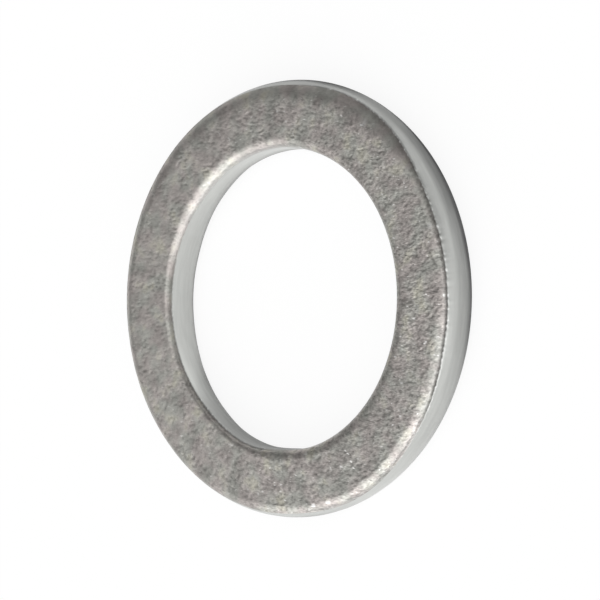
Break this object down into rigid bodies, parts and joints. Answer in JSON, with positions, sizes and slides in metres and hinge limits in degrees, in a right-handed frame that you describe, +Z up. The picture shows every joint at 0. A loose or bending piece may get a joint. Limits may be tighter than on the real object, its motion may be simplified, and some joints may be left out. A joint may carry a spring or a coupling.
{
  "type": "sealing washer",
  "caption": "Flat round aluminium sealing ring with a plain bore, rolled face edges and an arched rim, squeezed under a screwed plug to seal its port.",
  "frame": {"origin": "centre of the lower face, where the ring rests", "axes": "+Z up along the bore axis, towards the face with the rolled edges; X and Y are alike"},
  "size_m": [0.0204, 0.0204, 0.002],
  "materials": {
    "aluminium": "tumbled matt grain on the faces, smooth satin on the rim and in the bore"
  },
  "bodies": {
    "root": {"sealing_washer": "aluminium"}
  },
  "joints": []
}
